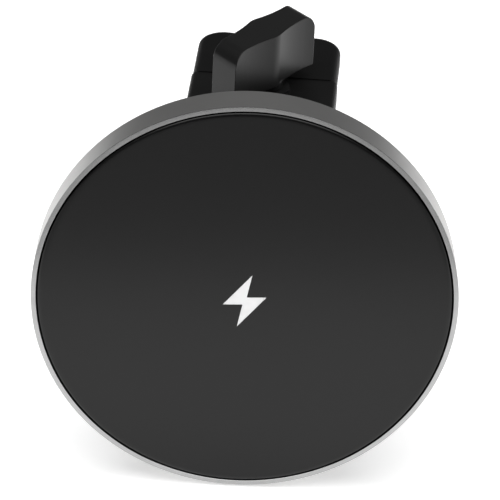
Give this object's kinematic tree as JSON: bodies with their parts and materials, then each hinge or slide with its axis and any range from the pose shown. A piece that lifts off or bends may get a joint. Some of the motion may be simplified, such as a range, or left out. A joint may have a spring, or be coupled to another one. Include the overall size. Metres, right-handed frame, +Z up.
{
  "type": "car phone mount",
  "caption": "Round magnetic charging head with a black glass face and metal rim, on a ball joint, held to a car's air vent blade by a screw clamp with a T-shaped knob and rubber jaws.",
  "frame": {"origin": "middle of the clamp's mouth, half way between the jaws at rest", "axes": "+Z up along the clamp screw, +Y out of the mouth towards the vent, +X to the right as seen by the driver; the head looks along -Y, panned 3.4 degrees"},
  "size_m": [0.0601, 0.0644, 0.06],
  "materials": {
    "bezel_metal": "bead blasted and anodised in titanium grey, with a polished front edge",
    "front_glass": "black back-printed glass with a gloss face; held as an opaque slot",
    "white_print": "screen-printed white ink",
    "black_tape": "foam tape",
    "grey_plastic": "moulded carrier",
    "magnet_nickel": "nickel plated",
    "plated_steel": "zinc or nickel plated",
    "ferrite": "sintered ferrite",
    "copper_wire": "enamelled copper wire",
    "black_resin": "moulded resin",
    "board_green": "solder mask",
    "thermal_silicone": "soft gap filler",
    "black_plastic": "fine moulded texture",
    "satin_plastic": "satin moulded plastic with worn bright edges",
    "ball_plastic": "smooth glass-filled plastic",
    "ceramic_tan": "ceramic",
    "black_steel": "black oxide",
    "white_acetal": "acetal",
    "brass": "turned brass",
    "black_rubber": "soft silicone rubber"
  },
  "bodies": {
    "clip": {"ball_stud": "ball_plastic", "stud_screw": "plated_steel", "stud_washer": "plated_steel", "clip_body": "black_plastic", "end_plate": "black_plastic", "end_plate_screws": "black_steel", "screw_bush": "black_steel", "upper_grip_sleeve": "black_rubber"},
    "knob": {"clamp_screw": "plated_steel", "screw_clip": "plated_steel", "clamp_knob": "satin_plastic"},
    "lower_jaw": {"lower_jaw": "black_plastic", "jaw_nut": "brass", "lower_grip_sleeve": "black_rubber"},
    "ball_cup": {"friction_cup": "white_acetal"},
    "ball_seat": {"seat_ring": "white_acetal"},
    "head": {"bezel_ring": "bezel_metal", "front_glass": "front_glass", "charge_mark": "white_print", "glass_tape": "black_tape", "coil_carrier": "grey_plastic", "ring_magnets": "magnet_nickel", "magnet_shunt": "plated_steel", "ferrite_sheet": "ferrite", "charging_coil": "copper_wire", "coil_thermistor": "black_resin", "circuit_board": "board_green", "thermal_pad": "thermal_silicone", "usb_socket": "plated_steel", "usb_tongue": "black_plastic", "charge_controller": "black_resin", "power_inductors": "ferrite", "resonance_capacitors": "ceramic_tan", "power_switches": "black_resin", "rear_cover": "black_plastic", "cover_screws": "black_steel"},
    "collar": {"collar_nut": "black_plastic"}
  },
  "joints": [
    {"name": "knob_turn", "type": "hinge", "parent": "clip", "child": "knob", "pos_m": [0, -0.0132, 0.01], "axis": [0, 0, 1], "range_deg": [-480, 600]},
    {"name": "jaw_slide", "type": "slide", "parent": "clip", "child": "lower_jaw", "axis": [0, 0, 1], "range_m": [-0.005, 0.004]},
    {"name": "head_pan", "type": "hinge", "parent": "clip", "child": "ball_cup", "pos_m": [0, -0.03765, -0.0058], "axis": [0, 0, 1], "range_deg": [-23.4, 16.6]},
    {"name": "head_tilt", "type": "hinge", "parent": "ball_cup", "child": "ball_seat", "pos_m": [0, -0.03765, -0.0058], "axis": [0.9982, 0.0593, 0], "range_deg": [-20, 20]},
    {"name": "head_spin", "type": "hinge", "parent": "ball_seat", "child": "head", "pos_m": [0, -0.03765, -0.0058], "axis": [0.0593, -0.9982, 0], "continuous": true},
    {"name": "collar_turn", "type": "hinge", "parent": "head", "child": "collar", "pos_m": [0, -0.03765, -0.0058], "axis": [-0.0593, 0.9982, 0], "range_deg": [0, 180]}
  ],
  "couplings": [
    {"joint": "knob_turn", "follows": "jaw_slide", "rad_per_m": -2094.4}
  ]
}
